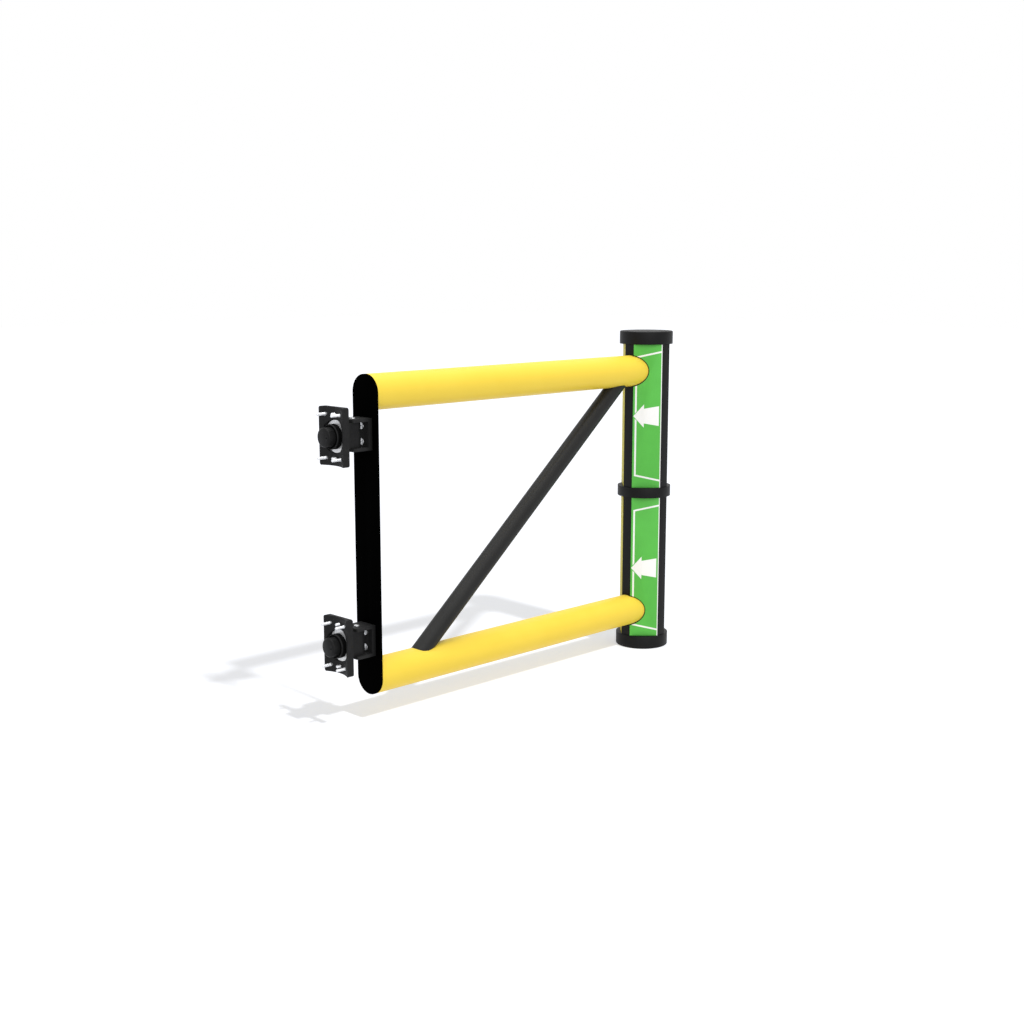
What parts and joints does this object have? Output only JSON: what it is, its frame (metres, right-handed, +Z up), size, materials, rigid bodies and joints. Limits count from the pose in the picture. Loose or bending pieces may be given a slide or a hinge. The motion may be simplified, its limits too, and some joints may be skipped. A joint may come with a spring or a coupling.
{
  "type": "guard-rail swing gate leaf with hinge plates",
  "caption": "Pedestrian guard-rail swing gate: a braced two-rail leaf with a sign column at its free end, on hinge plates that bolt to a round post.",
  "frame": {"origin": "centre of the lower hinge plate's bolt pattern, in the plane of the two flat lands that meet the post", "axes": "+X from the hinge side along the closed leaf to the column, +Y across the leaf, +Z up; the wall bolts stand out towards -X"},
  "size_m": [1.7636, 0.2172, 1.31],
  "materials": {
    "rail_yellow": "smooth moulded yellow polymer tube with a soft sheen",
    "black_casting": "black powder-coated casting",
    "black_plate": "deep black closing plate",
    "black_plastic": "black moulded polymer, satin",
    "black_tube": "black polymer tube with a soft sheen",
    "bright_steel": "bright zinc-plated steel",
    "sign_green": "green printed sign panel with a white arrow and doorway outline",
    "sign_yellow": "plain yellow sign panel"
  },
  "bodies": {
    "post_side": {"lower_post_plate": "black_casting", "lower_hub": "black_plastic", "lower_hub_washer": "bright_steel", "lower_wall_bolts": "bright_steel", "lower_centre_screws": "bright_steel", "upper_post_plate": "black_casting", "upper_hub": "black_plastic", "upper_hub_washer": "bright_steel", "upper_wall_bolts": "bright_steel", "upper_centre_screws": "bright_steel"},
    "leaf": {"lower_leaf_bracket": "black_casting", "lower_bracket_bolts": "bright_steel", "lower_bracket_nuts": "bright_steel", "lower_hinge_pin": "bright_steel", "upper_leaf_bracket": "black_casting", "upper_bracket_bolts": "bright_steel", "upper_bracket_nuts": "bright_steel", "upper_hinge_pin": "bright_steel", "end_plate": "black_plate", "lower_rail": "rail_yellow", "upper_rail": "rail_yellow", "diagonal_brace": "black_tube", "lower_column_body": "black_plastic", "upper_column_body": "black_plastic", "bottom_cap": "black_plastic", "column_ring": "black_plastic", "top_cap": "black_plastic", "lower_front_sign": "sign_green", "lower_left_sign": "sign_yellow", "lower_back_sign": "sign_green", "lower_right_sign": "sign_yellow", "upper_front_sign": "sign_green", "upper_left_sign": "sign_yellow", "upper_back_sign": "sign_green", "upper_right_sign": "sign_yellow"}
  },
  "joints": [
    {"name": "gate_swing", "type": "hinge", "parent": "post_side", "child": "leaf", "pos_m": [0.092, 0, 0], "axis": [0, 0, 1], "range_deg": [-90, 90]}
  ]
}
